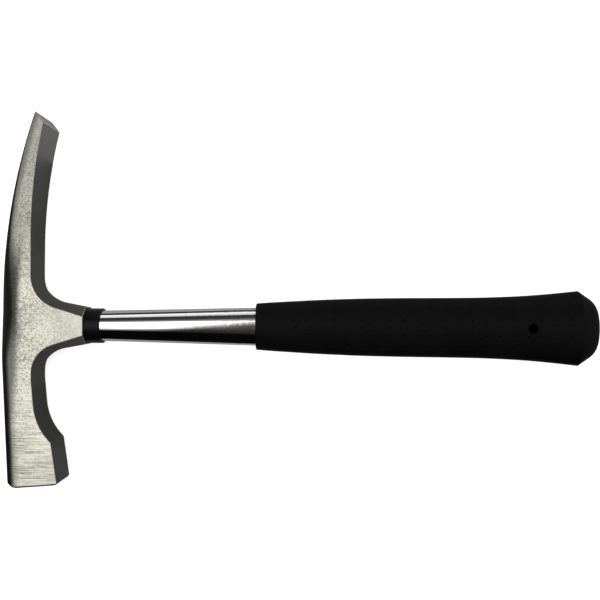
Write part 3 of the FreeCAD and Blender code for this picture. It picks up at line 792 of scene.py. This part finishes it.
def panel(name, centre, size, facing, material):
    """A flat card in the studio."""
    half_x, half_y = size[0] / 2, size[1] / 2
    corners = [(-half_x, -half_y, 0), (half_x, -half_y, 0), (half_x, half_y, 0), (-half_x, half_y, 0)]
    mesh = bpy.data.meshes.new(name)
    mesh.from_pydata(corners, [], [(0, 1, 2, 3)])
    mesh.materials.append(material)
    card = bpy.data.objects.new(name, mesh)
    card.location = centre
    card.rotation_euler = (Vector(facing) - Vector(centre)).to_track_quat("Z", "Y").to_euler()
    bpy.context.scene.collection.objects.link(card)
    return card


def seen_directly(tree):
    """1 on what the camera sees, mirrored and through glass too, and 0 on what only lights."""
    path = tree.nodes.new("ShaderNodeLightPath")
    total = path.outputs["Is Camera Ray"]
    for ray in ("Is Glossy Ray", "Is Transmission Ray"):
        node = tree.nodes.new("ShaderNodeMath")
        node.operation = "MAXIMUM"
        tree.links.new(total, node.inputs[0])
        tree.links.new(path.outputs[ray], node.inputs[1])
        total = node.outputs[0]
    return total


def build_world():
    world = bpy.data.worlds.new("studio")
    world.use_nodes = True
    background = world.node_tree.nodes["Background"]
    background.inputs["Color"].default_value = (1, 1, 1, 1)
    strength = world.node_tree.nodes.new("ShaderNodeMapRange")
    strength.inputs["To Min"].default_value = WORLD_LIGHT
    strength.inputs["To Max"].default_value = 1.0
    world.node_tree.links.new(seen_directly(world.node_tree), strength.inputs["Value"])
    world.node_tree.links.new(strength.outputs["Result"], background.inputs["Strength"])
    bpy.context.scene.world = world


def build_floor():
    """A white floor that glows a little where it is seen, and still shows shadows."""
    shader = Shader("floor_white", Roughness=0.9, Specular_IOR_Level=0.1)
    grain = shader.noise(shader.place(), 40.0)
    shader.feed("Base Color", shader.mix(grain, grey(0.90), grey(0.93)))
    strength = shader.span(seen_directly(shader.tree), 0.0, 1.0, to_high=FLOOR_GLOW)
    glow = shader.node("ShaderNodeEmission", {"Color": (1, 1, 1, 1), "Strength": strength})
    total = shader.node("ShaderNodeAddShader", {0: shader.surface.outputs[0], 1: glow.outputs[0]})
    output = shader.tree.nodes["Material Output"]
    shader.tree.links.new(total.outputs[0], output.inputs["Surface"])
    panel("floor", (FLOOR_MIDDLE, 0, 0), (FLOOR_SIZE, FLOOR_SIZE), (FLOOR_MIDDLE, 0, 1),
          shader.material)


def card_shader(name):
    return Shader(name, Roughness=1.0, Specular_IOR_Level=0.0)


def card_material(name, level):
    shader = card_shader(name)
    weave = shader.noise(shader.place(), WEAVE_SCALE)
    shader.feed("Base Color", shader.mix(weave, grey(level * WEAVE_SHADE), grey(level)))
    return shader.material


def fading(name, colour, clear, full):
    """A card's material that is clear at one height and full at another."""
    shader = card_shader(name)
    position = shader.position()
    weave = shader.noise(position, WEAVE_SCALE)
    darker = tuple(WEAVE_SHADE * part for part in colour[:3]) + (1,)
    shader.feed("Base Color", shader.mix(weave, colour, darker))
    shader.feed("Alpha", shader.span(shader.axis(position, "Z"), clear, full, smooth=True))
    return shader.material


def camera_card():
    """The dark shape of the camera and its holder, which the tube mirrors beside the grip.
    Its edge runs aslant: it starts further towards +Y the nearer it is to the grip."""
    shader = card_shader("card_camera")
    position = shader.position()
    x, y = shader.axis(position, "X"), shader.axis(position, "Y")
    drift = shader.math("MULTIPLY", shader.noise(position, 25.0, 4.0, 0.6), CAMERA_CARD_DRIFT)
    slant = shader.math("SUBTRACT", y, shader.math("MULTIPLY", x, CAMERA_CARD_SLANT))
    edge = shader.span(shader.math("ADD", slant, drift), *CAMERA_CARD_EDGE, smooth=True)
    end = shader.span(shader.math("ADD", x, drift), *CAMERA_CARD_END, to_high=0.6)
    shader.feed("Base Color", shader.mix(drift, (0.05, 0.04, 0.035, 1), (0.09, 0.075, 0.065, 1)))
    shader.feed("Alpha", shader.math("MAXIMUM", edge, end))
    return shader.material


def flag(name, centre, size, facing, material):
    """A card that shows only in reflections."""
    card = panel(name, centre, size, facing, material)
    card.visible_camera = False
    card.visible_diffuse = False
    card.visible_shadow = False
    card.visible_transmission = False


def card_height(angle):
    """How high a ray from the tube, this many degrees off the vertical, meets a standing card."""
    return MID_Z + CARD_DISTANCE / math.tan(math.radians(angle))


def standing_flag(name, side, high_angle, low_angle, material):
    """A card beside the hammer that fills the tube's reflections between two angles."""
    low, high = card_height(low_angle), card_height(high_angle)
    middle = (low + high) / 2
    flag(name, (0, AXIS_Y + side * CARD_DISTANCE, middle), (CARD_LENGTH, high - low),
         (0, AXIS_Y, middle), material)


def lying_flag(name, side, near, far, material):
    """A card on the floor beside the hammer."""
    across = AXIS_Y + side * (near + far) / 2
    flag(name, (0, across, CARD_LIFT), (CARD_LENGTH, far - near), (0, across, 1), material)


def soft_box(name, centre, size, facing, radiance):
    """A soft light that the camera itself doesn't see."""
    light = bpy.data.lights.new(name, "AREA")
    light.shape = "RECTANGLE"
    light.size, light.size_y = size
    light.energy = radiance * math.pi * size[0] * size[1]
    item = bpy.data.objects.new(name, light)
    item.location = centre
    item.rotation_euler = (Vector(centre) - Vector(facing)).to_track_quat("Z", "Y").to_euler()
    item.visible_camera = False
    bpy.context.scene.collection.objects.link(item)


def build_studio():
    """White surroundings, one overhead light, and the dark cards that the chrome mirrors."""
    build_world()
    build_floor()
    soft_box("overhead", OVERHEAD_PLACE, OVERHEAD_SIZE, (0, 0, MID_Z), OVERHEAD_RADIANCE)
    black = card_material("flag_black", 0.004)
    shade_grey = card_material("flag_shade", 0.50)
    dim = card_material("flag_dim", 0.06)
    below = fading("flag_below_black", grey(0.004), *map(card_height, BELOW_FADES))
    above = fading("flag_above_olive", (0.07, 0.068, 0.062, 1), *map(card_height, ABOVE_FADES))
    standing_flag("flag_below", -1, *BELOW_CARD, below)
    lying_flag("flag_below_near", -1, 0.0, BELOW_NEAR, shade_grey)
    lying_flag("flag_below_floor", -1, BELOW_NEAR, CARD_DISTANCE, black)
    standing_flag("flag_above", 1, *ABOVE_CARD, above)
    lying_flag("flag_above_near", 1, 0.0, ABOVE_NEAR, shade_grey)
    lying_flag("flag_above_floor", 1, ABOVE_NEAR, ABOVE_FAR, dim)
    flag("flag_left", LEFT_CARD_PLACE, LEFT_CARD_SIZE, (0, 0, MID_Z), black)
    flag("flag_camera", CAMERA_CARD_PLACE, CAMERA_CARD_SIZE, CAMERA_CARD_FACES, camera_card())


build_studio()


# ------------------------------------------------------------------- camera

CAMERA_PLACE = Vector((0.00615, 0.00092, 0.4965))
CAMERA_ROLL = math.radians(0.34)
CAMERA_LENS = 59.9
CAMERA_SHIFT = -0.025
CAMERA_NEAREST = 10 * MM

camera = bpy.data.objects.new("camera", bpy.data.cameras.new("camera"))
camera.location = CAMERA_PLACE
camera.rotation_euler = (0, 0, CAMERA_ROLL)
camera.data.lens = CAMERA_LENS
camera.data.shift_x = CAMERA_SHIFT
camera.data.clip_start = CAMERA_NEAREST
bpy.context.scene.collection.objects.link(camera)
bpy.context.scene.camera = camera
bpy.context.scene.view_settings.view_transform = "Standard"
